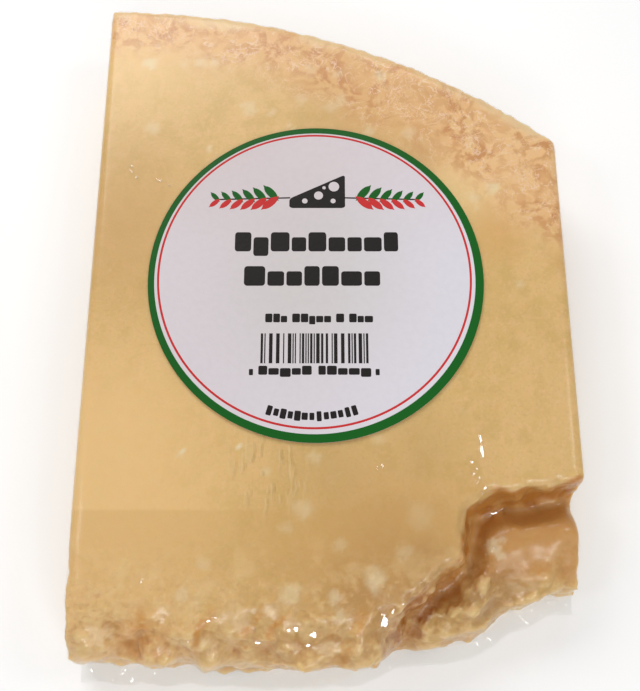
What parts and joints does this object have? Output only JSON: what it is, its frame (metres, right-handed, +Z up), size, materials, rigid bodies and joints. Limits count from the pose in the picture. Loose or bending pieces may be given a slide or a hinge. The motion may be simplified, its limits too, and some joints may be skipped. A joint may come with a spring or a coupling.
{
  "type": "parmesan chunk in clear film",
  "caption": "Chunk of hard grating cheese with an arc of rind, straight cut sides and a broken crumbly toe, sealed in clear film with a round paper label on its top face.",
  "frame": {"origin": "on the table, below the middle of the whole box", "axes": "+Z up out of the labelled face, +Y towards the arc of rind, +X to the right cut with the label upright"},
  "size_m": [0.1128, 0.1634, 0.0262],
  "materials": {
    "cheese_in_film": "pale straw cheese under tight glossy clear film",
    "label_paper": "smooth white sticker paper with a green border"
  },
  "bodies": {
    "root": {"wrapped_cheese": "cheese_in_film", "label": "label_paper"}
  },
  "joints": []
}
